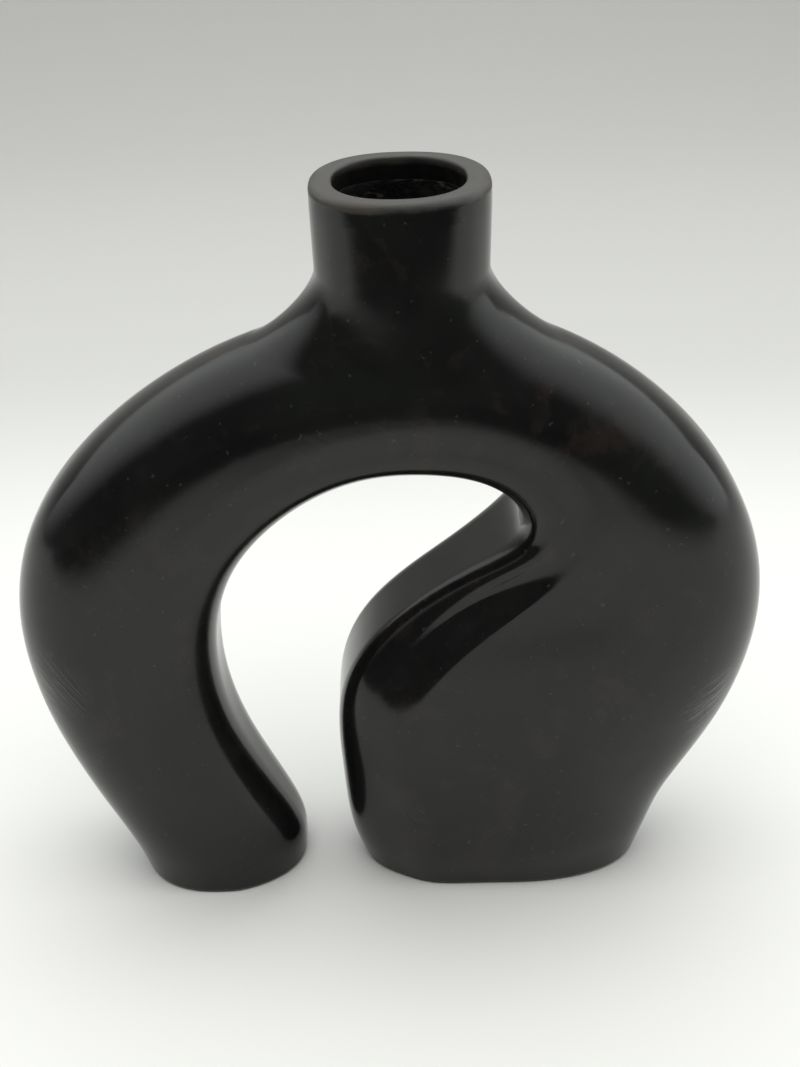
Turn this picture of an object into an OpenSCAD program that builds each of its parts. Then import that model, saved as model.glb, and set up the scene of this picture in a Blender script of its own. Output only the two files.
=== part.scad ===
// Arch-shaped vase of burnished black clay, in millimetres.
// One hollow arm bows from foot to foot. It swells to a broad lobe on the right, and the
// lobe's upper edge closes the arched window. The vase stands on z = 0 and faces -Y.
// The pieces are the clay parts that the vase is luted together from: two moulded half
// shells, the coils pressed along their seams, two closing slabs, a collar and a lip.

/* [Body] */
// Width of the vase over its two sides
body_w = 230; // [190:1:280]
// Height of the arch's crown, where the neck rises from it
crown_h = 192; // [170:1:215]
// Largest depth, front to back, at the lobe
body_depth = 60; // [54:1:75]
// Wall of the half shells
wall = 5; // [3.5:0.5:6]

/* [Neck] */
// Height of the whole vase, to the top of the lip
vase_h = 233; // [230:1:280]
// Width of the neck at its waist
neck_w = 49.8; // [42:0.2:56]
// Depth of the neck at its waist, front to back
neck_depth = 49.5; // [40:0.5:51]
// How far the neck widens on each side, from its waist up to the lip
neck_flare = 0.4; // [0:0.1:2]
// How far the neck's centre lies to the right of the window's middle
neck_x = 6.7; // [3:0.1:12]
// Wall of the neck and lip
neck_wall = 7.3; // [4:0.1:9]

/* [Lip] */
// Height of the lip coil
lip_h = 7; // [5:0.5:9]

/* [Feet] */
// Thickness of the slab that closes each foot
foot_t = 4; // [3:0.5:6]

/* [Seams] */
// How far a luting coil stands into the hollow
coil_h = 3; // [1.5:0.5:4]

/* [Hidden] */

burnished_clay = [0.13, 0.13, 0.13];
lip_clay = [0.17, 0.16, 0.15];
raw_clay = [0.30, 0.24, 0.20];
luting_clay = [0.20, 0.19, 0.18];

// The arm is a row of cross-sections from the left foot to the right foot. Each holds
// [outer x, outer z, inner x, inner z, half depth, half depth at the inner edge, how far
// the inner edge's rounding reaches over the face, how far it reaches over the wall].
// A B-spline runs smoothly past the rows, a little inside those where it bends.
ROWS = [
    [  -85,     0,   -31,     0,  24.5,  23.5,    26,    23],
    [-87.5,     8, -30.5,     8,    25,    24,    26,    23],
    [-90.5,    16,   -32,    16,    26,  24.5,    27,    24],
    [ -103,    44, -44.5,    40,    27,  25.5,    27,    24],
    [ -113,    72, -53.5,    64,  27.5,    26,    25,    23],
    [-116.5,   104,   -55,    92,  27.5,    26,    22,    21],
    [ -106,   137,   -47,   120,  27.5,    26,    16,    15],
    [  -79,   166,   -26,   141,    27,  25.5,    13,    14],
    [  -46,   185,    -5,   150,    27,  25.5,    12,    14],
    [   -6,   195,    14, 149.5,    27,  25.5,    12,    14],
    [   28,   194,    28, 146.5,    27,  25.5,    12,    14],
    [   62,   182,  37.5, 140.5,  27.5,    26,    12,    14],
    [   94,   156,    41, 131.5,    28,  26.5,    12,    14],
    [  112,   125,    36, 123.5,    29,  25.5,    10,    14],
    [116.5,    95,    18, 111.2,  29.5,    17,     8,  13.5],
    [  111,    66,  -4.5,  94.8,    30,  18.5,     9,    14],
    [  100,    44,   -19,  72.5,  29.5,    25,    17,    18],
    [   89,    28, -17.5,    37,  28.5,  25.5,    33,    24],
    [   85,    16,   -16,    16,  27.5,  25.5,    34,    25],
    [ 82.5,     8,   -14,     8,    26,    24,    32,  23.5],
    [   80,     0,   -11,     0,  24.5,  22.5,    30,    22]];
LAST = len(ROWS) - 1;
// The size that the rows are drawn at, and the height between the first ones at a foot
drawn_w = 229.3;
drawn_crown = 192;
drawn_depth = 58.3;
foot_row_h = 8;

stretch = [body_w / drawn_w, body_depth / drawn_depth, crown_h / drawn_crown];
FIT = [stretch[0], stretch[2], stretch[0], stretch[2], stretch[1], stretch[1], 1, 1];

// Roundness of the outer edge, where 2 is an ellipse and more is squarer
outer_round = 2.3;
// The depth is lost over the last stretch before the inner edge: from thin_near away from
// it, a share of the loss comes steeply and the rest gently
thin_near = 10;
thin_steep = 13;
thin_gentle = 75;
steep_share = 0.55;

// The neck rises from an oval hole over the crown. The hole's centre and half width are
// counted in rows, and its half depth in degrees round the section.
hole_row = 9.45;
hole_rows = 1.3;
hole_angle = 72;
oval_round = 2.3;
// Height of the fillet above the crown, and how far each end holds its direction
fillet_h = 16;
fillet_pull = 0.8;
// Share of the hole's outline from which the skin's direction is taken
near_rim = 0.98;

// Steps of the mesh: rows per step along a leg, then steps over the hole, over the outer
// and inner quarter of a section, up the fillet, up the neck and over the lip
leg_step = 0.38;
hole_steps = 20;
outer_steps = 9;
inner_steps = 16;
fillet_steps = 8;
neck_steps = 2;
lip_steps = 14;
// How closely the inner steps crowd towards the rounded edge, and the rows between the
// points that the vase is centred by
crowding = 1.7;
centring_step = 0.05;

// ---- The arm's surface ----

function row(k) = k < 0 ? 2 * row(0) - row(1)
    : k > LAST ? 2 * row(LAST) - row(LAST - 1)
    : [for (i = [0 : 7]) ROWS[k][i] * FIT[i]];

function spline_weights(f) = [
    pow(1 - f, 3) / 6,
    (3 * pow(f, 3) - 6 * f * f + 4) / 6,
    (-3 * pow(f, 3) + 3 * f * f + 3 * f + 1) / 6,
    pow(f, 3) / 6];

function arm_row(t) = let (k = min(floor(t), LAST - 1), w = spline_weights(t - k))
    w[0] * row(k - 1) + w[1] * row(k) + w[2] * row(k + 1) + w[3] * row(k + 2);

// Distance from the middle to a rounded square, in the direction of an angle
function round_square(a, power) =
    1 / pow(pow(abs(cos(a)), power) + pow(abs(sin(a)), power), 1 / power);

// The same for a square whose corners are quarter ovals. They reach a share of the way
// across the square and a share down it.
function corner_square(a, across, down) =
    let (p = abs(cos(a)) / across,
         q = abs(sin(a)) / down,
         m = 1 / across - 1,
         n = 1 / down - 1,
         square = p * p + q * q,
         cross = p * m + q * n)
    p < q * down * m ? 1 / abs(sin(a))
    : q < p * across * n ? 1 / abs(cos(a))
    : (cross + sqrt(max(0, cross * cross - square * (m * m + n * n - 1)))) / square;

function eased(x) = let (y = max(0, min(1, x))) y * y * (3 - 2 * y);

// Share of the depth's loss that is left at a distance from the inner edge
function loss_share(off) = 1 - steep_share * eased((off - thin_near) / thin_steep)
    - (1 - steep_share) * eased((off - thin_near) / thin_gentle);

// Point on the arm: t rows along it, a degrees round its section (0 on the outer seam,
// 90 on the front, 180 on the inner seam), and inset below its skin
function arm_point(t, a, inset = 0) =
    let (r = arm_row(t),
         outer = [r[0], r[1]],
         inner = [r[2], r[3]],
         reach = norm(outer - inner) / 2,
         far = cos(a) >= 0 ? round_square(a, outer_round)
             : corner_square(a, r[6] / reach, r[7] / r[4]),
         u = cos(a) * far,
         loss = (r[4] - r[5]) * loss_share(reach * (1 + u)),
         p = (outer + inner) / 2 + (outer - inner) / 2 * u * (1 - inset / reach))
    [p[0] - middle_x, -sin(a) * far * (r[4] - loss - inset), p[1]];

// The vase is centred over the origin
leg_rows = [for (t = [0 : centring_step : LAST]) arm_row(t)[0]];
middle_x = (min(leg_rows) + max(leg_rows)) / 2;

// ---- Stations along the arm, each with its row and the angle where the shells start ----

foot_row = foot_t / foot_row_h / stretch[2];
left_end = hole_row - hole_rows;
right_end = hole_row + hole_rows;
left_steps = ceil((left_end - foot_row) / leg_step);
right_steps = ceil((LAST - foot_row - right_end) / leg_step);

LEFT_LEG = [for (i = [0 : left_steps])
    [foot_row + (left_end - foot_row) * i / left_steps, 0]];
OVER_HOLE = [for (i = [0 : hole_steps]) let (w = 180 * i / hole_steps)
    [hole_row - hole_rows * cos(w), hole_angle * sin(w)]];
RIGHT_LEG = [for (i = [0 : right_steps])
    [right_end + (LAST - foot_row - right_end) * i / right_steps, 0]];
ARM = concat([for (i = [0 : left_steps - 1]) LEFT_LEG[i]],
             OVER_HOLE,
             [for (i = [1 : right_steps]) RIGHT_LEG[i]]);

ANGLES = concat([for (i = [0 : outer_steps]) 90 * i / outer_steps],
                [for (i = [1 : inner_steps]) let (w = 2 * i / inner_steps - 1)
                    90 + 45 * (1 + sign(w) * pow(abs(w), crowding))]);
SEAM = len(ANGLES) - 1;

function shell_point(station, j, inset = 0) =
    arm_point(station[0], station[1] + (180 - station[1]) * ANGLES[j] / 180, inset);

function mirrored(p) = [p[0], -p[1], p[2]];
function backwards(list) = [for (i = [len(list) - 1 : -1 : 0]) list[i]];

// ---- Meshes ----

// Triangles over n rings of m points. Every ring is closed, and so is the row of rings
// where it is a loop.
function skin(n, m, loop) = [
    for (k = [0 : n - (loop ? 1 : 2)], j = [0 : m - 1])
        let (a = k * m + j,
             b = k * m + (j + 1) % m,
             c = (k + 1) % n * m + (j + 1) % m,
             d = (k + 1) % n * m + j)
        each [[a, c, b], [a, d, c]]];

// Triangles over the end of a wall, between the outer and inner half of ring k
function wall_end(k, m, last) = [
    for (j = [0 : m / 2 - 2])
        let (a = k * m + j,
             b = a + 1,
             c = k * m + m - 2 - j,
             d = c + 1)
        each last ? [[a, d, c], [a, c, b]] : [[a, b, c], [a, c, d]]];

module wall_loft(rings) {
    n = len(rings);
    m = len(rings[0]);
    polyhedron(
        points = [for (ring = rings) each ring],
        faces = concat(skin(n, m, false), wall_end(0, m, false), wall_end(n - 1, m, true)));
}

module rod_loft(rings) {
    n = len(rings);
    m = len(rings[0]);
    polyhedron(
        points = [for (ring = rings) each ring],
        faces = concat(skin(n, m, false), [[for (j = [0 : m - 1]) j]],
                       [[for (j = [m - 1 : -1 : 0]) (n - 1) * m + j]]));
}

module ring_loft(rings) {
    polyhedron(
        points = [for (ring = backwards(rings)) each ring],
        faces = skin(len(rings), len(rings[0]), true));
}

// ---- Shells, coils and feet ----

module half_shell() {
    wall_loft([for (s = ARM) concat(
        [for (j = [0 : SEAM]) shell_point(s, j)],
        [for (j = [SEAM : -1 : 0]) shell_point(s, j, wall)])]);
}

module front_shell() {
    color(burnished_clay) half_shell();
}

module back_shell() {
    color(burnished_clay) mirror([0, 1, 0]) half_shell();
}

// Bead over the inside of a seam, between the angles numbered seam and side
function bead(station, seam, side) =
    let (edge = shell_point(station, side, wall),
         brow = (shell_point(station, side, wall + 0.8 * coil_h)
                 + shell_point(station, seam, wall + 0.8 * coil_h)) / 2)
    [edge,
     shell_point(station, seam, wall),
     mirrored(edge),
     mirrored(brow),
     shell_point(station, seam, wall + coil_h),
     brow];

module seam_coil(stations, seam, side) {
    color(luting_clay) rod_loft([for (s = stations)
        seam < side ? backwards(bead(s, seam, side)) : bead(s, seam, side)]);
}

module seam_coil_left() {
    seam_coil(LEFT_LEG, 0, 1);
}

module seam_coil_right() {
    seam_coil(RIGHT_LEG, 0, 1);
}

module seam_coil_arch() {
    seam_coil(ARM, SEAM, SEAM - 1);
}

// Closing slab in the outline of the arm at row t
module foot_base(t) {
    front = [for (a = ANGLES) arm_point(t, a)];
    outline = concat(front, [for (j = [SEAM - 1 : -1 : 1]) mirrored(front[j])]);
    color(raw_clay) linear_extrude(foot_t) polygon([for (p = outline) [p[0], p[1]]]);
}

module left_foot_base() {
    foot_base(0);
}

module right_foot_base() {
    foot_base(LAST);
}

// ---- Neck and lip ----

fillet_z = crown_h + fillet_h;
lip_z = vase_h - lip_h;

function hole_point(w, part, inset) =
    arm_point(hole_row - hole_rows * part * cos(w), hole_angle * part * sin(w), inset);

function oval_point(w, inset, z) = let (far = round_square(w, oval_round)) [
    neck_x - middle_x - (neck_w / 2 - inset) * cos(w) * far,
    -(neck_depth / 2 - inset) * sin(w) * far,
    z];

function unit(v) = v / norm(v);

// Point on the flared foot of the collar, which leaves the arm's skin along the skin and
// ends upright: f runs from 0 at the hole to 1 at the neck
function fillet_point(w, f, inset, neck_inset) =
    let (start = hole_point(w, 1, inset),
         end = oval_point(w, neck_inset, fillet_z),
         pull = norm(end - start) * fillet_pull,
         leave = unit(hole_point(w, near_rim, inset) - start) * pull,
         arrive = [0, 0, pull])
    start * (2 * pow(f, 3) - 3 * f * f + 1) + leave * (pow(f, 3) - 2 * f * f + f)
    + end * (3 * f * f - 2 * pow(f, 3)) + arrive * (pow(f, 3) - f * f);

function collar_side(w, inset, neck_inset) = concat(
    [for (i = [0 : fillet_steps]) fillet_point(w, i / fillet_steps, inset, neck_inset)],
    [for (i = [1 : neck_steps]) let (rise = i / neck_steps)
        oval_point(w, neck_inset - neck_flare * rise, fillet_z + (lip_z - fillet_z) * rise)]);

AROUND = [for (i = [0 : 2 * hole_steps - 1]) 180 * i / hole_steps];

module neck() {
    color(burnished_clay) ring_loft([for (w = AROUND)
        concat(collar_side(w, 0, 0), backwards(collar_side(w, wall, neck_wall)))]);
}

// The lip's section: [inset from the top of the neck, height], round a flat seat, up the
// side and over a flattened top. Its outer corner is rounder than its inner one.
lip_side_h = lip_h * 0.6;
lip_outer_round = 2.6;
lip_inner_round = 5;
LIP_SECTION = concat([[0, 0]],
    [for (i = [0 : lip_steps]) let (
        a = 180 * i / lip_steps,
        power = 2 / (cos(a) > 0 ? lip_outer_round : lip_inner_round))
        [neck_wall * (1 - sign(cos(a)) * pow(abs(cos(a)), power)) / 2,
         lip_side_h + (lip_h - lip_side_h) * pow(sin(a), power)]],
    [[neck_wall, 0]]);

module lip() {
    color(lip_clay) ring_loft([for (w = AROUND)
        [for (p = LIP_SECTION) oval_point(w, p[0] - neck_flare, lip_z + p[1])]]);
}

front_shell();
back_shell();
neck();
lip();
left_foot_base();
right_foot_base();
seam_coil_left();
seam_coil_right();
seam_coil_arch();
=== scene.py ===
"""An arch-shaped vase of burnished black clay, on a pale sweep under soft light.

The vase is one hollow arm that bows from foot to foot, with a round neck at its crown.
Each clay part is rebuilt here from the design's own curves, finer than the design's mesh
and with the slight unevenness of a surface worked by hand.
"""
import math

import bmesh
import bpy
import numpy as np
from mathutils import Matrix, Vector


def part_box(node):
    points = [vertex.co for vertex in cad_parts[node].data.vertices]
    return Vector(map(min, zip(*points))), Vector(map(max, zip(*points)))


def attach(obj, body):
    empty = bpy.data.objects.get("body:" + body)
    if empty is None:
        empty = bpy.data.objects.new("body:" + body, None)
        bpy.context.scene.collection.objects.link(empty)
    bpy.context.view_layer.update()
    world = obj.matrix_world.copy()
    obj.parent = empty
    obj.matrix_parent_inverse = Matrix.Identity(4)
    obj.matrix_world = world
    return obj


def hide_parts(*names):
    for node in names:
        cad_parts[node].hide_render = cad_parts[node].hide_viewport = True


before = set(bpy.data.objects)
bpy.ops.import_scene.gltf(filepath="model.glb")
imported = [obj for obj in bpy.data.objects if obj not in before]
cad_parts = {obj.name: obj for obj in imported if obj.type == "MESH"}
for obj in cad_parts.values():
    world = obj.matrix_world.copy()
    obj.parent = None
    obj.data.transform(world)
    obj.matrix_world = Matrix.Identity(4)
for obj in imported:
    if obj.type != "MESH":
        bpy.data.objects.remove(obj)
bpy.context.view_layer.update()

MM = 0.001


# ---- The design's sizes, read from the frame ----

SHELL_LOW, SHELL_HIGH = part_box("front_shell")
LIP_LOW, LIP_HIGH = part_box("lip")
SOLE_LOW, SOLE_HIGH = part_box("left_foot_base")

WALL = 5 * MM
NECK_WALL = 7.3 * MM
NECK_FLARE = 0.4 * MM
# Share of the lip's height that is its upright side, and how square its two corners are
LIP_SIDE_SHARE = 0.6
LIP_OUTER_ROUND = 2.6
LIP_INNER_ROUND = 5
SOLE_THICKNESS = SOLE_HIGH[2] - SOLE_LOW[2]
LIP_HEIGHT = LIP_HIGH[2] - LIP_LOW[2]
LIP_SEAT = LIP_LOW[2]
NECK_X = (LIP_LOW[0] + LIP_HIGH[0]) / 2
NECK_HALF_WIDTH = (LIP_HIGH[0] - LIP_LOW[0]) / 2 - NECK_FLARE
NECK_HALF_DEPTH = (LIP_HIGH[1] - LIP_LOW[1]) / 2 - NECK_FLARE
FILLET_TOP = 208 * MM

# Cross-sections of the arm from the left foot to the right foot, in mm: outer x and z,
# inner x and z, half depth, half depth at the inner edge, and how far that edge's rounding
# reaches over the face and over the inner wall
ROWS = np.array([
    [-85, 0, -31, 0, 24.5, 23.5, 26, 23],
    [-87.5, 8, -30.5, 8, 25, 24, 26, 23],
    [-90.5, 16, -32, 16, 26, 24.5, 27, 24],
    [-103, 44, -44.5, 40, 27, 25.5, 27, 24],
    [-113, 72, -53.5, 64, 27.5, 26, 25, 23],
    [-116.5, 104, -55, 92, 27.5, 26, 22, 21],
    [-106, 137, -47, 120, 27.5, 26, 16, 15],
    [-79, 166, -26, 141, 27, 25.5, 13, 14],
    [-46, 185, -5, 150, 27, 25.5, 12, 14],
    [-6, 195, 14, 149.5, 27, 25.5, 12, 14],
    [28, 194, 28, 146.5, 27, 25.5, 12, 14],
    [62, 182, 37.5, 140.5, 27.5, 26, 12, 14],
    [94, 156, 41, 131.5, 28, 26.5, 12, 14],
    [112, 125, 36, 123.5, 29, 25.5, 10, 14],
    [116.5, 95, 18, 111.2, 29.5, 17, 8, 13.5],
    [111, 66, -4.5, 94.8, 30, 18.5, 9, 14],
    [100, 44, -19, 72.5, 29.5, 25, 17, 18],
    [89, 28, -17.5, 37, 28.5, 25.5, 33, 24],
    [85, 16, -16, 16, 27.5, 25.5, 34, 25],
    [82.5, 8, -14, 8, 26, 24, 32, 23.5],
    [80, 0, -11, 0, 24.5, 22.5, 30, 22]])
LAST = len(ROWS) - 1
FOOT_ROW_HEIGHT = 8 * MM

# Roundness of the outer edge, where 2 is an oval and more is squarer. The depth is lost from
# THIN_NEAR off the inner edge, a share of it steeply and the rest gently.
OUTER_ROUND = 2.3
THIN_NEAR = 10 * MM
THIN_STEEP = 13 * MM
THIN_GENTLE = 75 * MM
STEEP_SHARE = 0.55

# The oval hole over the crown: its middle and half width in rows, its half depth in degrees
# round the section, and the oval and flare of the collar that rises from it
HOLE_ROW = 9.45
HOLE_ROWS = 1.3
HOLE_ANGLE = 72
OVAL_ROUND = 2.3
FILLET_PULL = 0.8
NEAR_RIM = 0.98


# ---- The arm's surface ----

def spline(rows, t):
    """Rows of a B-spline at t, which starts on the first row and ends on the last one."""
    padded = np.vstack([2 * rows[0] - rows[1], rows, 2 * rows[-1] - rows[-2]])
    t = np.asarray(t, float)
    k = np.clip(t.astype(int), 0, len(rows) - 2)
    f = (t - k)[..., None]
    weights = [(1 - f) ** 3,
               3 * f ** 3 - 6 * f ** 2 + 4,
               -3 * f ** 3 + 3 * f ** 2 + 3 * f + 1,
               f ** 3]
    return sum(w * padded[k + i] for i, w in enumerate(weights)) / 6


def stretched_rows():
    """The rows in metres, stretched to the frame's size and centred over its origin."""
    rows = ROWS * MM
    outline = spline(rows, np.linspace(0, LAST, 2000))
    low, high = outline[:, 0].min(), outline[:, 0].max()
    across = (SHELL_HIGH[0] - SHELL_LOW[0]) / (high - low)
    deep = (SHELL_HIGH[1] - SHELL_LOW[1]) / outline[:, 4].max()
    rows[:, [0, 2]] = (rows[:, [0, 2]] - (low + high) / 2) * across
    rows[:, [4, 5]] *= deep
    return rows


ARM_ROWS = stretched_rows()


def round_square(a, power):
    """Distance from the middle to a rounded square, in the direction of an angle."""
    return (np.abs(np.cos(a)) ** power + np.abs(np.sin(a)) ** power) ** (-1 / power)


def corner_square(a, across, down):
    """Distance from the middle to a square, in the direction of an angle. Its corners are
    quarter ovals that reach a share of the way across the square and a share down it."""
    c, s = np.abs(np.cos(a)), np.abs(np.sin(a))
    p, q, m, n = c / across, s / down, 1 / across - 1, 1 / down - 1
    square, cross = p * p + q * q, p * m + q * n
    corner = (cross + np.sqrt(np.maximum(0, cross ** 2 - square * (m * m + n * n - 1)))) / square
    return np.where(p < q * down * m, 1 / np.maximum(s, 0.5),
                    np.where(q < p * across * n, 1 / np.maximum(c, 0.5), corner))


def arm_section(t):
    """Middle, half reach, half depth, its loss at the inner edge, and that edge's rounding."""
    row = spline(ARM_ROWS, t)
    outer, inner = row[..., 0:2], row[..., 2:4]
    return ((outer + inner) / 2, (outer - inner) / 2, row[..., 4],
            row[..., 4] - row[..., 5], row[..., 6], row[..., 7])


def eased(x):
    """0 below 0, 1 above 1, and a smooth rise between them."""
    x = np.clip(x, 0, 1)
    return x * x * (3 - 2 * x)


def arm_point(t, a, inset=0.0):
    """Point t rows along the arm, a degrees round its section, and inset below its skin."""
    t, a = np.broadcast_arrays(np.asarray(t, float), np.radians(np.asarray(a, float)))
    middle, half, depth, thin, face_soft, wall_soft = arm_section(t)
    reach = np.linalg.norm(half, axis=-1)
    c, s = np.cos(a), np.sin(a)
    far = np.where(c >= 0, round_square(a, OUTER_ROUND),
                   corner_square(a, face_soft / reach, wall_soft / depth))
    u, v = c * far, s * far
    off = reach * (1 + u) - THIN_NEAR
    loss = thin * (1 - STEEP_SHARE * eased(off / THIN_STEEP)
                   - (1 - STEEP_SHARE) * eased(off / THIN_GENTLE))
    flat = middle + half * (u * (1 - inset / reach))[..., None]
    return np.stack([flat[..., 0], -v * (depth - loss - inset), flat[..., 1]], -1)


def unit(v):
    return v / np.maximum(np.linalg.norm(v, axis=-1, keepdims=True), 1e-12)


def hole_point(w, part=1.0, inset=0.0):
    """Point on the oval hole over the crown, w degrees round it from the left."""
    w = np.radians(w)
    return arm_point(HOLE_ROW - HOLE_ROWS * part * np.cos(w), HOLE_ANGLE * part * np.sin(w), inset)


def oval_point(w, inset, z):
    """Point on the neck's oval at a height, w degrees round it from the left."""
    w, inset, z = np.broadcast_arrays(np.radians(w), inset, z)
    far = round_square(w, OVAL_ROUND)
    return np.stack([NECK_X - (NECK_HALF_WIDTH - inset) * np.cos(w) * far,
                     -(NECK_HALF_DEPTH - inset) * np.sin(w) * far,
                     z], -1)


def fillet_point(w, f, inset=0.0, neck_inset=0.0):
    """Point on the collar's flared foot: f runs from 0 at the hole to 1 at the neck."""
    start, end = hole_point(w, 1.0, inset), oval_point(w, neck_inset, FILLET_TOP)
    pull = np.linalg.norm(end - start, axis=-1, keepdims=True) * FILLET_PULL
    leave = unit(hole_point(w, NEAR_RIM, inset) - start) * pull
    arrive = np.array([0, 0, 1]) * pull
    f = np.asarray(f, float)[..., None]
    return (start * (2 * f ** 3 - 3 * f ** 2 + 1) + leave * (f ** 3 - 2 * f ** 2 + f)
            + end * (3 * f ** 2 - 2 * f ** 3) + arrive * (f ** 3 - f ** 2))


def collar_point(w, f, inset=0.0, neck_inset=0.0):
    """Point on the collar: f runs from 0 to 1 up the fillet and from 1 to 2 up the neck."""
    w, f = np.broadcast_arrays(np.asarray(w, float), np.asarray(f, float))
    rise = np.maximum(f - 1, 0)
    up = oval_point(w, neck_inset - NECK_FLARE * rise,
                    FILLET_TOP + (LIP_SEAT - FILLET_TOP) * rise)
    return np.where((f < 1)[..., None], fillet_point(w, np.minimum(f, 1), inset, neck_inset), up)


def lip_point(w, a):
    """Point on the lip: a runs from 0 outside to 180 inside, over its flattened top."""
    side = LIP_HEIGHT * LIP_SIDE_SHARE
    a = np.radians(np.asarray(a, float))
    c, s = np.cos(a), np.sin(a)
    power = 2 / np.where(c > 0, LIP_OUTER_ROUND, LIP_INNER_ROUND)
    across = (1 - np.sign(c) * np.abs(c) ** power) / 2
    return oval_point(w, NECK_WALL * across - NECK_FLARE,
                      LIP_SEAT + side + (LIP_HEIGHT - side) * np.abs(s) ** power)


# ---- Hand-worked surface ----

# Shallow hollows left by fingers and the burnishing stone: wavelength, depth, and a
# direction and phase for each wave
WAVES = [(92, 0.20, (0.8, 0.3, 0.5), 0.4), (61, 0.14, (-0.5, 0.4, 0.8), 2.1),
         (44, 0.10, (0.3, -0.8, 0.6), 3.7), (31, 0.06, (0.9, 0.5, -0.2), 5.2),
         (23, 0.04, (-0.2, 0.7, 0.7), 1.3)]


def hollow(p):
    """Depth of the hand-worked hollows at a point. It is never below zero."""
    depth = np.zeros(p.shape[:-1])
    for length, deep, way, phase in WAVES:
        wave = np.sin(p @ unit(np.array(way)) * (2 * np.pi / (length * MM)) + phase)
        depth += deep * MM * (1 + wave) / 2
    return depth


def normal_of(surface, s, t, ds, dt, outside):
    """Unit normals of surface(s, t), turned to the side that outside(points) points to."""
    across = surface(s + ds, t) - surface(s - ds, t)
    along = surface(s, t + dt) - surface(s, t - dt)
    n = unit(np.cross(across, along))
    return n * np.sign((n * outside(surface(s, t))).sum())


def worked(surface, outside, ds, dt):
    """The surface with its hand-worked hollows, as a function of the same two numbers."""
    def pressed(s, t):
        p = surface(s, t)
        return p - normal_of(surface, s, t, ds, dt, outside) * hollow(p)[..., None]
    return pressed


def mesh_grid(surface, outside, s, t, ds, dt, hand=True):
    """Points and outward normals of a surface over the grid s by t."""
    s, t = np.broadcast_arrays(np.asarray(s, float), np.asarray(t, float))
    made = worked(surface, outside, ds, dt) if hand else surface
    return made(s, t), normal_of(made, s, t, ds, dt, outside)


# ---- Closed clay meshes ----

def add(name, data):
    """A mesh, lamp or camera, put into the scene."""
    thing = bpy.data.objects.new(name, data)
    bpy.context.scene.collection.objects.link(thing)
    return thing


def walked(points, axis):
    """Distance along one direction of a grid of points, from its first line."""
    steps = np.linalg.norm(np.diff(points, axis=axis), axis=-1)
    return np.insert(np.cumsum(steps, axis=axis), 0, 0, axis=axis)


class Shape:
    """Clay being built up from skins, flat strips and caps into one closed mesh."""

    def __init__(self):
        self.points, self.normals, self.maps = [], [], []
        self.faces, self.flat, self.finish = [], [], []
        self.count = 0

    def add(self, faces, flat, finish):
        self.faces += [list(map(int, f)) for f in faces]
        self.flat += [flat] * len(faces)
        self.finish += [finish] * len(faces)

    def skin(self, points, normals, finish, wraps=False):
        """A smooth grid of points. One that wraps repeats its first column as its last one."""
        rows, columns = points.shape[:2]
        along = walked(points, 0)
        around = walked(points, 1)
        self.points.append(points.reshape(-1, 3))
        self.normals.append(normals.reshape(-1, 3))
        self.maps.append(np.stack([along - along[rows // 2], around], -1).reshape(-1, 2))
        index = np.arange(rows * columns).reshape(rows, columns) + self.count
        self.count += rows * columns
        quads = np.stack([index[:-1, :-1], index[:-1, 1:], index[1:, 1:], index[1:, :-1]], -1)
        self.add(quads.reshape(-1, 4), False, finish)
        return index

    def strip(self, one, other, finish):
        """Flat faces between two lines of points that run the same way."""
        self.add(np.stack([one[:-1], other[:-1], other[1:], one[1:]], -1), True, finish)

    def cap(self, ring, finish):
        """One flat face inside a ring whose last point repeats its first one."""
        self.add([ring[:-1]], True, finish)

    def made(self, name, finishes):
        """The object, closed and with its faces turned outwards."""
        points, normals = np.concatenate(self.points), np.concatenate(self.normals)
        maps = np.concatenate(self.maps)
        places, first, same = np.unique(np.round(points / (0.001 * MM)), axis=0,
                                        return_index=True, return_inverse=True)
        same = same.reshape(-1)
        mesh = bpy.data.meshes.new(name)
        mesh.from_pydata(points[first].tolist(), [], [same[f].tolist() for f in self.faces])
        mesh.polygons.foreach_set("material_index", self.finish)
        source = mesh.attributes.new("source", "INT", "CORNER")
        source.data.foreach_set("value", np.concatenate(self.faces).astype(np.int32))
        turned = bmesh.new()
        turned.from_mesh(mesh)
        bmesh.ops.recalc_face_normals(turned, faces=turned.faces)
        turned.to_mesh(mesh)
        turned.free()
        from_point = np.empty(len(mesh.loops), np.int32)
        mesh.attributes["source"].data.foreach_get("value", from_point)
        mesh.attributes.remove(mesh.attributes["source"])
        sizes = [len(f) for f in self.faces]
        face_normals = np.empty(len(mesh.polygons) * 3)
        mesh.polygons.foreach_get("normal", face_normals)
        flat = np.repeat(self.flat, sizes)[:, None]
        corner = np.where(flat, np.repeat(face_normals.reshape(-1, 3), sizes, 0),
                          normals[from_point])
        layer = mesh.uv_layers.new(name="worked")
        layer.data.foreach_set("uv", maps[from_point].astype(np.float32).ravel())
        for f in finishes:
            mesh.materials.append(f)
        mesh.polygons.foreach_set("use_smooth", [True] * len(mesh.polygons))
        mesh.normals_split_custom_set(corner.tolist())
        return add(name, mesh)


# ---- The pot's pieces ----

STATIONS_A_ROW = 10
HOLE_STEPS = 120
ACROSS_HALF = 76
FOOT_ROW = SOLE_THICKNESS / FOOT_ROW_HEIGHT
# Small steps along a surface from which its normals are taken
FINE_ROWS = 0.01
FINE_DEGREES = 0.3
FINE_SHARE = 0.01
FINE_TURN = 0.5
# How much more the angles crowd where a section turns than where it runs straight
TURNING = 1.5
TRIAL_ANGLES = 721


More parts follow.
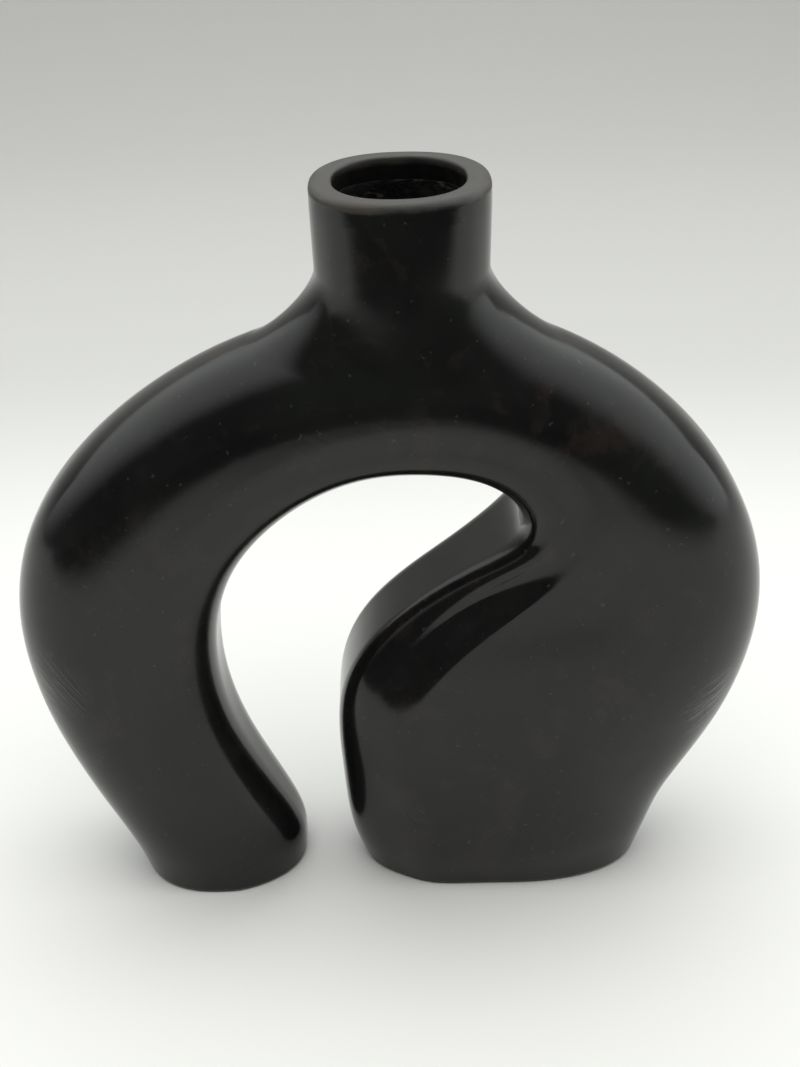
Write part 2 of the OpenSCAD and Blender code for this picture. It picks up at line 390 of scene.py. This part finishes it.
def spread_angles(t, start):
    """Angles round a half section from start to 180, closer together where it turns."""
    a = np.linspace(start, 180, TRIAL_ANGLES)
    p = arm_point(t, a)
    step = np.diff(p, axis=0)
    size = np.linalg.norm(step, axis=1)
    way = step / size[:, None]
    bend = np.arccos(np.clip((way[:-1] * way[1:]).sum(1), -1, 1))
    bend = np.concatenate([bend, [0]])
    pace = size / size.sum() + TURNING * bend / bend.sum()
    done = np.insert(np.cumsum(pace), 0, 0)
    return np.interp(np.linspace(0, done[-1], ACROSS_HALF), done, a)


def half_stations():
    """Rows along the arm and the angle at which the half starts, round the neck's hole."""
    left, right = HOLE_ROW - HOLE_ROWS, HOLE_ROW + HOLE_ROWS
    w = np.radians(np.linspace(0, 180, HOLE_STEPS + 1))
    low = np.linspace(FOOT_ROW, left, int((left - FOOT_ROW) * STATIONS_A_ROW) + 1)[:-1]
    high = np.linspace(right, LAST - FOOT_ROW,
                       int((LAST - FOOT_ROW - right) * STATIONS_A_ROW) + 1)[1:]
    t = np.concatenate([low, HOLE_ROW - HOLE_ROWS * np.cos(w), high])
    start = np.concatenate([0 * low, HOLE_ANGLE * np.sin(w), 0 * high])
    return t, start


def arm_half(name, side, finishes):
    """The front half of the arm (side 1) or the back one (side -1)."""
    turn = np.array([1, side, 1])
    t, start = half_stations()
    a = np.array([spread_angles(k, s) for k, s in zip(t, start)])
    t = t[:, None]

    def skin(rows, degrees):
        return arm_point(rows, degrees) * turn

    def core(rows, degrees):
        return arm_point(rows, degrees, WALL) * turn

    shape = Shape()
    outer = shape.skin(*mesh_grid(skin, lambda p: p * (0, 1, 0), t, a,
                                  FINE_ROWS, FINE_DEGREES), 0)
    inner = shape.skin(*mesh_grid(core, lambda p: p * (0, -1, 0), t, a,
                                  FINE_ROWS, FINE_DEGREES, hand=False), 1)
    for edge in (np.s_[0], np.s_[-1], np.s_[:, 0], np.s_[:, -1]):
        shape.strip(outer[edge], inner[edge], 1)
    return shape.made(name, finishes)


NECK_COLUMNS = 240
FILLET_ROWS = 24
STRAIGHT_ROWS = 12


def from_axis(p):
    """From the neck's axis towards a point."""
    return (p - (NECK_X, 0, 0)) * (1, 1, 0)


def collar(name, finishes):
    """The flared collar and neck, with the throat inside it."""
    w = np.linspace(0, 360, NECK_COLUMNS + 1)
    f = np.concatenate([np.linspace(0, 1, FILLET_ROWS + 1),
                        np.linspace(1, 2, STRAIGHT_ROWS + 1)[1:]])[:, None]

    def skin(rows, degrees):
        return collar_point(degrees, rows)

    def core(rows, degrees):
        return collar_point(degrees, rows, WALL, NECK_WALL)

    shape = Shape()
    outer = shape.skin(*mesh_grid(skin, from_axis, f, w, FINE_SHARE, FINE_TURN), 0)
    inner = shape.skin(*mesh_grid(core, lambda p: -from_axis(p), f, w,
                                  FINE_SHARE, FINE_TURN, hand=False), 1)
    shape.strip(outer[0], inner[0], 1)
    shape.strip(outer[-1], inner[-1], 1)
    return shape.made(name, finishes)


LIP_STEPS = 40
# Turn in degrees that stands for each upright side of the lip
LIP_SIDE = 20


def lip_section(degrees, w):
    """Point on the lip: its outer side below 0 degrees, its inner side above 180."""
    a = np.clip(degrees, 0, 180)
    p = lip_point(w, a)
    down = (np.maximum(0, -degrees) + np.maximum(0, degrees - 180)) / LIP_SIDE
    return p - np.stack([0 * down, 0 * down, down * LIP_HEIGHT * LIP_SIDE_SHARE], -1)


def rim(name, finishes):
    """The lip, on a flat seat at the neck's top."""
    w = np.linspace(0, 360, NECK_COLUMNS + 1)
    a = np.linspace(-LIP_SIDE, 180 + LIP_SIDE, LIP_STEPS + 1)[:, None]
    shape = Shape()
    band = shape.skin(*mesh_grid(lip_section, lambda p: (p - (0, 0, LIP_SEAT)) * (0, 0, 1),
                                 a, w, FINE_TURN, FINE_TURN), 0)
    shape.strip(band[0], band[-1], 1)
    return shape.made(name, finishes)


SOLE_EDGE = 1.5 * MM
SOLE_COLUMNS = 180
# Rings of the flat under and upper face, as shares of the way out from the middle
SOLE_RINGS = np.array([0.9, 0.7, 0.5, 0.3, 0.12])


def sole(name, left, finishes):
    """A closing slab under one leg. It carries on the skin down to a rounded edge."""
    base, way = (0, 1) if left else (LAST, -1)
    middle = arm_section(np.array(float(base)))[0]
    centre = np.array([middle[0], 0, 0])

    def side(q, a):
        """q is 0 at the slab's top edge, 1 where the rounded edge starts, 2 on the ground."""
        turn = np.pi / 2 * np.maximum(q - 1, 0)
        z = np.where(q < 1, SOLE_THICKNESS + (SOLE_EDGE - SOLE_THICKNESS) * q,
                     SOLE_EDGE * (1 - np.sin(turn)))
        inset = SOLE_EDGE * (1 - np.cos(turn))
        return arm_point(base + way * z / FOOT_ROW_HEIGHT, a, inset)

    a = np.linspace(0, 360, SOLE_COLUMNS + 1)
    q = np.concatenate([np.linspace(0, 1, 5), np.linspace(1, 2, 9)[1:]])[:, None]
    skin, normals = mesh_grid(side, lambda p: p - centre, q, a, FINE_SHARE, FINE_TURN)
    shape = Shape()
    shape.skin(skin, normals, 0)
    for ring, hub, up in ((skin[-1], centre, -1.0),
                          (skin[0], centre + (0, 0, SOLE_THICKNESS), 1.0)):
        rings = np.concatenate([ring[None], hub + (ring - hub) * SOLE_RINGS[:, None, None]])
        face = shape.skin(rings, np.broadcast_to([0.0, 0, up], rings.shape), 1)
        shape.cap(face[-1], 1)
    return shape.made(name, finishes)


# ---- Finishes ----

class Wire:
    """A value in a finish, so that a mask is written as plain arithmetic."""

    def __init__(self, finish, socket):
        self.finish, self.socket = finish, socket

    def maths(self, operation, *values):
        return self.finish.node("ShaderNodeMath", {"operation": operation}, dict(enumerate(values)))

    def __add__(self, other):
        return self.maths("ADD", self, other)

    def __sub__(self, other):
        return self.maths("SUBTRACT", self, other)

    def __mul__(self, other):
        return self.maths("MULTIPLY", self, other)

    def __rsub__(self, other):
        return self.maths("SUBTRACT", other, self)

    __radd__ = __add__
    __rmul__ = __mul__


class Finish:
    """The node tree of a material, or of the room, with the patterns that clay needs."""

    def __init__(self, name, room=False):
        self.owner = (bpy.data.worlds if room else bpy.data.materials).new(name)
        self.owner.use_nodes = True
        self.nodes = self.owner.node_tree.nodes
        self.links = self.owner.node_tree.links
        self.nodes.clear()

    def node(self, kind, settings=None, values=None, output=0):
        """A new node: its settings first, then the values or wires of its sockets."""
        made = self.nodes.new(kind)
        for key, value in (settings or {}).items():
            setattr(made, key, value)
        for key, value in (values or {}).items():
            if isinstance(value, Wire):
                self.links.new(value.socket, made.inputs[key])
            else:
                made.inputs[key].default_value = value
        return Wire(self, made.outputs[output]) if made.outputs else None

    def place(self):
        return self.node("ShaderNodeTexCoord", output="Object")

    def worked(self):
        """The piece's own map: metres along it, and metres round it."""
        return self.node("ShaderNodeUVMap", {"uv_map": "worked"})

    def scaled(self, vector, scale):
        return self.node("ShaderNodeMapping", None, {"Vector": vector, "Scale": scale})

    def noise(self, vector, size, detail=3.0, roughness=0.55, distortion=0.0):
        """Soft noise from 0 to 1, with features of a size in metres."""
        return self.node("ShaderNodeTexNoise", None, {
            "Vector": vector, "Scale": 1 / size, "Detail": detail, "Roughness": roughness,
            "Distortion": distortion})

    def smooth(self, value, low, high, start=0.0, end=1.0):
        """Value turned smoothly from start at low to end at high."""
        return self.node("ShaderNodeMapRange", {"interpolation_type": "SMOOTHSTEP"}, {
            "Value": value, "From Min": low, "From Max": high, "To Min": start, "To Max": end})

    def near(self, centre, radii, softness):
        """1 inside an ellipsoid in the frame, and 0 outside, with a soft edge."""
        moved = self.node("ShaderNodeVectorMath", {"operation": "SUBTRACT"},
                          {0: self.place(), 1: centre})
        shrunk = self.node("ShaderNodeVectorMath", {"operation": "DIVIDE"}, {0: moved, 1: radii})
        far = self.node("ShaderNodeVectorMath", {"operation": "LENGTH"}, {0: shrunk}, output="Value")
        return self.smooth(far, 1 - softness, 1 + softness, 1.0, 0.0)

    def height(self):
        return self.node("ShaderNodeSeparateXYZ", None, {0: self.place()}, output="Z")

    def blend(self, share, one, other):
        """The colour one, turned into other by a share."""
        return self.node("ShaderNodeMix", {"data_type": "RGBA"}, {0: share, 6: one, 7: other},
                         output=2)

    def bump(self, height, strength=1.0, depth=MM, under=None):
        """A normal from a height, in millimetres when the depth is one."""
        values = {"Height": height, "Strength": strength, "Distance": depth}
        if under:
            values["Normal"] = under
        return self.node("ShaderNodeBump", None, values)

    def ended(self, shader, kind="ShaderNodeOutputMaterial"):
        """The material, or the room, with this shader as its surface."""
        self.node(kind, None, {"Surface": shader})
        return self.owner

    def clay(self, colour, roughness, normal, gloss=1.42):
        """The finish as one clay shader. Its gloss is an index of refraction."""
        return self.ended(self.node("ShaderNodeBsdfPrincipled", None, {
            "Base Color": colour, "Roughness": roughness, "Normal": normal, "IOR": gloss}))


# Clay colours, and the size and the two middles of the scuffs on the legs
BLACK = (0.0056, 0.0060, 0.0058, 1)
GREENISH = (0.0096, 0.0110, 0.0094, 1)
BROWNISH = (0.0200, 0.0150, 0.0135, 1)
GREYISH = (0.015, 0.015, 0.0145, 1)
DUSTY = (0.05, 0.048, 0.044, 1)
CHALKY = (0.20, 0.20, 0.19, 1)
SCUFF_SIZE = (16 * MM, 24 * MM, 13 * MM)
RIGHT_SCUFF = (106 * MM, -8 * MM, 66 * MM)
LEFT_SCUFF = (-110 * MM, -10 * MM, 82 * MM)


def burnished(f):
    """Colour, roughness and height of clay rubbed to a soft shine in strokes along it."""
    strokes = f.noise(f.scaled(f.worked(), (0.1, 1, 1)), 1.5 * MM, 4, 0.6)
    facets = f.noise(f.scaled(f.worked(), (0.35, 1, 1)), 9 * MM, 2, 0.5)
    cloud = f.noise(f.place(), 36 * MM, 4, 0.6)
    patch = f.noise(f.place(), 21 * MM, 5, 0.62, 0.6)
    mottle = f.noise(f.place(), 6 * MM, 3, 0.6)
    grit = f.noise(f.place(), 0.7 * MM, 2, 0.6)
    colour = f.blend(f.smooth(cloud, 0.35, 0.7), BLACK, GREENISH)
    colour = f.blend(f.smooth(patch, 0.52, 0.68) * 0.8, colour, BROWNISH)
    colour = f.blend(f.smooth(mottle, 0.55, 0.75) * 0.4, colour, GREYISH)
    rough = (f.smooth(cloud, 0.3, 0.7, 0.12, 0.17) + (strokes - 0.5) * 0.07
             + (mottle - 0.5) * 0.03 + f.smooth(patch, 0.5, 0.7) * 0.03)
    height = (strokes - 0.5) * 0.003 + (facets - 0.5) * 0.045 + (grit - 0.5) * 0.001
    scuffs = f.noise(f.scaled(f.worked(), (1, 0.08, 1)), 1.2 * MM, 3, 0.7)
    worn = f.near(RIGHT_SCUFF, SCUFF_SIZE, 0.5) + f.near(LEFT_SCUFF, SCUFF_SIZE, 0.5) * 0.6
    worn = worn * f.smooth(scuffs, 0.47, 0.62)
    dust = f.smooth(f.noise(f.place(), 1.7 * MM, 1, 0.4), 0.73, 0.77) * 0.5
    colour = f.blend(worn * 0.75, f.blend(dust, colour, DUSTY), CHALKY)
    return colour, rough + worn * 0.3, height


def burnished_clay():
    f = Finish("burnished_clay")
    colour, rough, height = burnished(f)
    return f.clay(colour, rough, f.bump(height))


def lip_clay():
    """Burnished at its side, and worn to a lighter, duller clay over the top."""
    f = Finish("lip_clay")
    colour, rough, height = burnished(f)
    strokes = f.noise(f.scaled(f.worked(), (1, 0.1, 1)), 1.0 * MM, 4, 0.65)
    cloud = f.noise(f.place(), 13 * MM, 3, 0.6)
    rise = f.height() + (cloud - 0.5) * (2.5 * MM)
    top = f.smooth(rise, LIP_HIGH[2] - 3.2 * MM, LIP_HIGH[2] - 1.4 * MM)
    worn = f.blend(f.smooth(cloud, 0.38, 0.66), (0.030, 0.031, 0.030, 1), (0.050, 0.042, 0.034, 1))
    worn = f.blend(f.smooth(strokes, 0.35, 0.7) * 0.6, worn, (0.075, 0.073, 0.068, 1))
    dull = f.smooth(cloud, 0.3, 0.7, 0.36, 0.46) + (strokes - 0.5) * 0.2
    return f.clay(f.blend(top, colour, worn), rough * (1 - top) + dull * top,
                  f.bump(height + top * (strokes - 0.5) * 0.05))


def rough_clay():
    """Unburnished black clay, as inside the throat, with a few wiped and chalky strokes."""
    f = Finish("rough_clay")
    lumps = f.noise(f.place(), 4 * MM, 4, 0.65)
    grit = f.noise(f.place(), 0.9 * MM, 3, 0.7)
    wiped = f.noise(f.scaled(f.place(), (0.35, 0.6, 1.6)), 4.5 * MM, 3, 0.6, 1.2)
    colour = f.blend(f.smooth(lumps, 0.4, 0.7), (0.005, 0.005, 0.005, 1), (0.014, 0.013, 0.012, 1))
    colour = f.blend(f.smooth(wiped, 0.56, 0.66) * 0.7, colour, (0.06, 0.058, 0.054, 1))
    colour = f.blend(f.smooth(grit, 0.72, 0.76) * 0.6, colour, (0.22, 0.21, 0.19, 1))
    return f.clay(colour, f.smooth(lumps, 0.3, 0.7, 0.42, 0.62), f.bump(lumps * 0.9 + grit * 0.3))


def raw_clay():
    """Clay under the feet, rubbed back to its brownish body."""
    f = Finish("raw_clay")
    lumps = f.noise(f.place(), 6 * MM, 4, 0.65)
    grit = f.noise(f.place(), 0.6 * MM, 3, 0.7)
    colour = f.blend(f.smooth(lumps, 0.35, 0.7), (0.030, 0.024, 0.019, 1), (0.070, 0.052, 0.038, 1))
    return f.clay(colour, 0.8, f.bump(lumps * 0.2 + grit * 0.1))


# ---- Putting the pot together ----

BURNISHED = burnished_clay()
WORN = lip_clay()
ROUGH = rough_clay()
RAW = raw_clay()


def fit(piece, slot, *nodes):
    """Puts a piece on the frame for the design's nodes, and hides those nodes. The slot is not used.
    """
    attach(piece, "root")
    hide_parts(*nodes)


fit(arm_half("front_half", 1, [BURNISHED, ROUGH]), "burnished_clay", "front_shell")
fit(arm_half("back_half", -1, [BURNISHED, ROUGH]), "burnished_clay", "back_shell")
fit(collar("collar", [BURNISHED, ROUGH]), "burnished_clay", "neck")
fit(rim("rim", [WORN, ROUGH]), "lip_clay", "lip")
fit(sole("left_sole", True, [BURNISHED, RAW]), "raw_clay", "left_foot_base")
fit(sole("right_sole", False, [BURNISHED, RAW]), "raw_clay", "right_foot_base")
for node in ("seam_coil_left", "seam_coil_right", "seam_coil_arch"):
    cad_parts[node].data.materials.clear()
    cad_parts[node].data.materials.append(ROUGH)


# ---- Floor, backdrop and light ----

# Depths at which the sweep lies flat, where its bend starts, the bend's radius, its last
# heights, and its half width, in metres
SWEEP_FLAT = (-1.6, -0.6, 0.0, 0.5)
SWEEP_BEND = 0.78
SWEEP_RADIUS = 0.3
SWEEP_RISE = (0.42, 0.55)
SWEEP_HALF_WIDTH = 2.2
BEND_STEPS = 12


def sweep():
    """A pale sheet that lies flat and then curves up behind the pot."""
    bend = np.linspace(0, np.pi / 2, BEND_STEPS + 1)
    line = ([(y, 0) for y in SWEEP_FLAT]
            + [(SWEEP_BEND + SWEEP_RADIUS * math.sin(a), SWEEP_RADIUS * (1 - math.cos(a)))
               for a in bend]
            + [(SWEEP_BEND + SWEEP_RADIUS, z) for z in SWEEP_RISE])
    x = np.linspace(-SWEEP_HALF_WIDTH, SWEEP_HALF_WIDTH, 9)
    points = [(float(across), y, z) for y, z in line for across in x]
    n = len(x)
    faces = [(i * n + j, i * n + j + 1, (i + 1) * n + j + 1, (i + 1) * n + j)
             for i in range(len(line) - 1) for j in range(n - 1)]
    mesh = bpy.data.meshes.new("sweep")
    mesh.from_pydata(points, [], faces)
    mesh.polygons.foreach_set("use_smooth", [True] * len(faces))
    return add("sweep", mesh)


# Depths between which the paper's colour goes from near to far, a painted shade that darkens the
# back of the sweep where less light falls
PAINTED_SHADE_FROM, PAINTED_SHADE_TO = 0.16, 0.42
PAPER_NEAR = (0.84, 0.84, 0.825, 1)
# The far colour is painted shade, not a darker paper
PAPER_PAINTED_SHADE = (0.64, 0.64, 0.63, 1)


def paper():
    """Matt paper, with painted shade that makes it a little darker towards the back."""
    f = Finish("paper_with_painted_shade")
    far = f.node("ShaderNodeSeparateXYZ", None, {0: f.place()}, output="Y")
    colour = f.blend(f.smooth(far, PAINTED_SHADE_FROM, PAINTED_SHADE_TO), PAPER_NEAR, PAPER_PAINTED_SHADE)
    return f.ended(f.node("ShaderNodeBsdfPrincipled", None, {"Base Color": colour,
                                                            "Roughness": 0.6}))


floor = sweep()
floor.data.materials.append(paper())


def direction(azimuth, elevation):
    """From the pot towards an azimuth from the front, and an elevation, in degrees."""
    az, el = math.radians(azimuth), math.radians(elevation)
    return Vector((math.sin(az) * math.cos(el), -math.cos(az) * math.cos(el), math.sin(el)))


# The dark card's near and far edge, where it is fully dark, its half width and its height. The card
# is painted shade for the unlit room in front
CARD_NEAR, CARD_FAR, CARD_DARK = -0.24, -1.6, -0.42
CARD_HALF_WIDTH = 2.0
CARD_HEIGHT = 2 * MM


def painted_shade_card():
    """A dark sheet in front, past the floor that shows: painted shade standing in for the unlit room
    there. Only reflections see it, as painted dark reflections.
    """
    mesh = bpy.data.meshes.new("painted_shade_card")
    mesh.from_pydata([(-CARD_HALF_WIDTH, CARD_FAR, CARD_HEIGHT),
                      (CARD_HALF_WIDTH, CARD_FAR, CARD_HEIGHT),
                      (CARD_HALF_WIDTH, CARD_NEAR, CARD_HEIGHT),
                      (-CARD_HALF_WIDTH, CARD_NEAR, CARD_HEIGHT)], [], [(0, 1, 2, 3)])
    card = add("painted_shade_card", mesh)
    f = Finish("painted_shade_card")
    ahead = f.node("ShaderNodeSeparateXYZ", None, {0: f.place()}, output="Y")
    clear = f.node("ShaderNodeBsdfTransparent")
    # Painted shade: black that the clay reflects in place of the unlit room
    black = f.node("ShaderNodeBsdfDiffuse", None, {"Color": (0.03, 0.03, 0.03, 1)})
    share = f.smooth(ahead, CARD_DARK, CARD_NEAR, 1.0, 0.0)
    mesh.materials.append(f.ended(f.node("ShaderNodeMixShader", None,
                                         {0: share, 1: clear, 2: black})))
    card.visible_camera = card.visible_diffuse = card.visible_shadow = False
    return card


painted_shade_card()


POT_MIDDLE = Vector((0, 0, 0.11))
WHITE = (1.0, 0.99, 0.965)


def softbox(name, azimuth, elevation, distance, wide, high, radiance, colour, shiny=True):
    """A soft light seen from the pot at an azimuth from the front, and an elevation."""
    way = direction(azimuth, elevation)
    light = bpy.data.lights.new(name, "AREA")
    light.shape = "RECTANGLE"
    light.size, light.size_y = wide, high
    light.energy = radiance * math.pi * wide * high
    light.color = colour
    lamp = add(name, light)
    lamp.location = POT_MIDDLE + way * distance
    lamp.rotation_euler = way.to_track_quat("Z", "Y").to_euler()
    lamp.visible_glossy = shiny
    return lamp


softbox("ceiling", azimuth=0, elevation=80, distance=1.5, wide=1.6, high=1.6,
        radiance=2.4, colour=WHITE, shiny=False)


GLOW_TINT = (0.97, 1.0, 0.98)
ROOM_DIM = (0.06, 0.06, 0.06)
ROOM_SEEN = (0.62, 0.62, 0.61, 1)


def studio(glows):
    """A dim room with soft glows. Each is an azimuth from the front, an elevation, the
    angles at which it starts and stops to fade, and a radiance."""
    f = Finish("studio", room=True)
    where = f.node("ShaderNodeTexCoord", output="Generated")
    light = None
    for azimuth, elevation, full, gone, radiance in glows:
        toward = f.node("ShaderNodeVectorMath", {"operation": "DOT_PRODUCT"},
                        {0: where, 1: direction(azimuth, elevation)}, output="Value")
        glow = f.smooth(toward, math.cos(math.radians(gone)), math.cos(math.radians(full)),
                        0.0, radiance)
        light = light.maths("MAXIMUM", light, glow) if light else glow
    lit = f.node("ShaderNodeVectorMath", {"operation": "MULTIPLY_ADD"},
                 {0: light, 1: GLOW_TINT, 2: ROOM_DIM})
    seen = f.node("ShaderNodeLightPath", output="Is Camera Ray")
    back = f.node("ShaderNodeBackground", None, {"Color": f.blend(seen, lit, ROOM_SEEN)})
    return f.ended(back, "ShaderNodeOutputWorld")


bpy.context.scene.world = studio([
    (117, 24, 14, 70, 1.3),
    (-125, 44, 12, 58, 1.2),
    (180, 50, 16, 46, 1.25)])


# ---- Camera ----

# The camera's pitch and roll in degrees, the point it looks at, how far off it is, its focal
# length and frame height in one unit, and the sensor's size in mm
PITCH, ROLL = 30, 1.8
AIM = Vector((3.79, 0, 121)) * MM
DISTANCE = 489 * MM
FOCAL, FRAME_HEIGHT, SENSOR = 1600, 1067, 36

camera = add("camera", bpy.data.cameras.new("camera"))
camera.data.sensor_width = SENSOR
camera.data.lens = FOCAL / FRAME_HEIGHT * SENSOR
camera.data.clip_start = 10 * MM
tilt = (Matrix.Rotation(math.radians(90 - PITCH), 4, "X")
        @ Matrix.Rotation(math.radians(-ROLL), 4, "Z"))
camera.matrix_world = Matrix.Translation(AIM + tilt.col[2].to_3d() * DISTANCE) @ tilt
bpy.context.scene.camera = camera
bpy.context.scene.view_settings.view_transform = "Standard"
